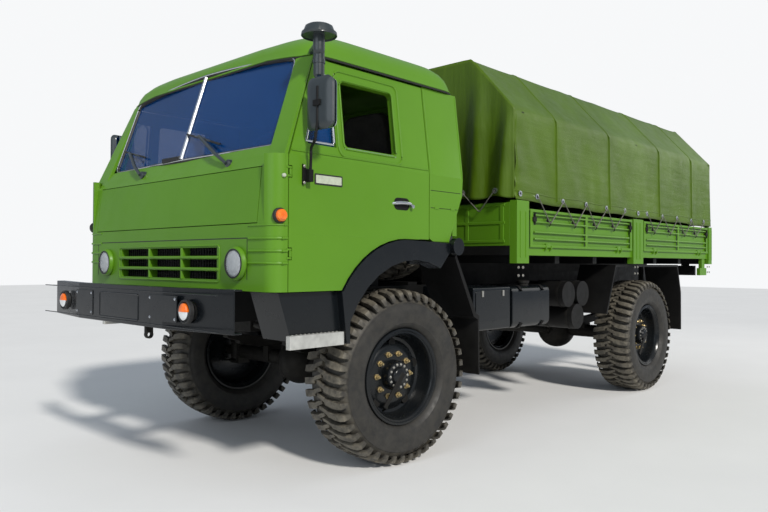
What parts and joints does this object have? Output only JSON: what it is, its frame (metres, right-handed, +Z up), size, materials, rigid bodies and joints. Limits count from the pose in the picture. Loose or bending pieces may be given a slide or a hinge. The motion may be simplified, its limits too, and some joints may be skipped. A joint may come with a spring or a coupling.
{
  "type": "four-wheel-drive cargo truck",
  "caption": "Cab-over four-wheel-drive cargo truck with a tilting cab, steered and rolling wheels, opening doors and a drop-side bed under a laced canopy.",
  "frame": {"origin": "on the ground at the middle of the overall length and width", "axes": "front is -Y, the truck's left side is +X, up is +Z"},
  "size_m": [2.9371, 7.613, 3.283],
  "materials": {
    "green_paint": "satin leaf-green paint",
    "black_steel": "satin black paint",
    "tarpaulin": "glossy coated canvas",
    "glass": "clear",
    "lamp_glass": "clear lens over a bright reflector",
    "amber_lens": "amber lens",
    "tyre": "dusty rubber",
    "cast_metal": "dark, oily",
    "tread_plate": "worn tread plate",
    "seat_cover": "woven cover",
    "trim": "matt black"
  },
  "bodies": {
    "chassis": {"frame_rails": "black_steel", "crossmembers": "black_steel", "front_bumper": "black_steel", "marker_lamps": "amber_lens", "powertrain": "cast_metal", "propeller_shafts": "cast_metal", "front_axle": "black_steel", "rear_axle": "black_steel", "leaf_springs": "black_steel", "fuel_tanks": "black_steel", "side_boxes": "black_steel", "air_tanks": "black_steel", "arch_guards": "black_steel", "rear_mudguards": "black_steel", "bed_floor": "green_paint", "bed_side_frames": "green_paint", "headboard": "green_paint", "canopy_bows": "black_steel", "canopy": "tarpaulin", "rear_curtain": "tarpaulin", "spare_wheel": "tyre", "spare_carrier": "black_steel", "tow_fittings": "cast_metal"},
    "cab": {"cab_floor": "black_steel", "cab_front": "green_paint", "cab_sides": "green_paint", "cab_rear_wall": "green_paint", "cab_roof": "green_paint", "cab_glass": "glass", "headlamps": "lamp_glass", "cab_wings": "black_steel", "cab_steps": "tread_plate", "snorkel": "black_steel", "seats": "seat_cover", "dashboard": "trim", "steering_wheel": "trim"},
    "front_hatch": {"front_hatch": "green_paint"},
    "left_door": {"left_door": "green_paint", "left_door_glass": "glass", "left_mirror": "black_steel"},
    "right_door": {"right_door": "green_paint", "right_door_glass": "glass", "right_mirror": "black_steel"},
    "left_knuckle": {"left_knuckle": "cast_metal"},
    "right_knuckle": {"right_knuckle": "cast_metal"},
    "tailgate": {"tailgate": "green_paint"},
    "front_left_wheel": {"front_left_tyre": "tyre", "front_left_wheel": "black_steel"},
    "front_right_wheel": {"front_right_tyre": "tyre", "front_right_wheel": "black_steel"},
    "rear_left_wheel": {"rear_left_tyre": "tyre", "rear_left_wheel": "black_steel"},
    "rear_right_wheel": {"rear_right_tyre": "tyre", "rear_right_wheel": "black_steel"},
    "left_front_board": {"left_front_board": "green_paint"},
    "left_rear_board": {"left_rear_board": "green_paint"},
    "right_front_board": {"right_front_board": "green_paint"},
    "right_rear_board": {"right_rear_board": "green_paint"}
  },
  "joints": [
    {"name": "cab_tilt", "type": "hinge", "parent": "chassis", "child": "cab", "pos_m": [0, -3.43, 1.195], "axis": [1, 0, 0], "range_deg": [0, 50]},
    {"name": "front_hatch_lift", "type": "hinge", "parent": "cab", "child": "front_hatch", "pos_m": [0, -3.419, 2.024], "axis": [-1, 0, 0], "range_deg": [0, 70]},
    {"name": "left_door_swing", "type": "hinge", "parent": "cab", "child": "left_door", "pos_m": [1.246, -3.338, 1.75], "axis": [0, 0, -1], "range_deg": [0, 65]},
    {"name": "right_door_swing", "type": "hinge", "parent": "cab", "child": "right_door", "pos_m": [-1.246, -3.338, 1.75], "axis": [0, 0, 1], "range_deg": [0, 65]},
    {"name": "left_steering", "type": "hinge", "parent": "chassis", "child": "left_knuckle", "pos_m": [0.92, -2.21, 0.63], "axis": [0, 0, 1], "range_deg": [-25, 35]},
    {"name": "front_left_spin", "type": "hinge", "parent": "left_knuckle", "child": "front_left_wheel", "pos_m": [1.00468, -2.21741, 0.63], "axis": [0.9962, -0.0872, 0], "continuous": true},
    {"name": "rear_left_spin", "type": "hinge", "parent": "chassis", "child": "rear_left_wheel", "pos_m": [1.005, 1.97, 0.63], "axis": [1, 0, 0], "continuous": true},
    {"name": "right_steering", "type": "hinge", "parent": "chassis", "child": "right_knuckle", "pos_m": [-0.92, -2.21, 0.63], "axis": [0, 0, 1], "range_deg": [-25, 35]},
    {"name": "front_right_spin", "type": "hinge", "parent": "right_knuckle", "child": "front_right_wheel", "pos_m": [-1.00468, -2.20259, 0.63], "axis": [0.9962, -0.0872, 0], "continuous": true},
    {"name": "rear_right_spin", "type": "hinge", "parent": "chassis", "child": "rear_right_wheel", "pos_m": [-1.005, 1.97, 0.63], "axis": [1, 0, 0], "continuous": true},
    {"name": "left_front_board_drop", "type": "hinge", "parent": "chassis", "child": "left_front_board", "pos_m": [1.262, 0.33, 1.6], "axis": [0, 1, 0], "range_deg": [0, 165]},
    {"name": "left_rear_board_drop", "type": "hinge", "parent": "chassis", "child": "left_rear_board", "pos_m": [1.262, 2.65, 1.6], "axis": [0, 1, 0], "range_deg": [0, 165]},
    {"name": "right_front_board_drop", "type": "hinge", "parent": "chassis", "child": "right_front_board", "pos_m": [-1.262, 0.33, 1.6], "axis": [0, -1, 0], "range_deg": [0, 165]},
    {"name": "right_rear_board_drop", "type": "hinge", "parent": "chassis", "child": "right_rear_board", "pos_m": [-1.262, 2.65, 1.6], "axis": [0, -1, 0], "range_deg": [0, 165]},
    {"name": "tailgate_drop", "type": "hinge", "parent": "chassis", "child": "tailgate", "pos_m": [0, 3.79, 1.6], "axis": [-1, 0, 0], "range_deg": [0, 165]}
  ],
  "couplings": [
    {"joint": "right_steering", "follows": "left_steering", "ratio": 1}
  ]
}
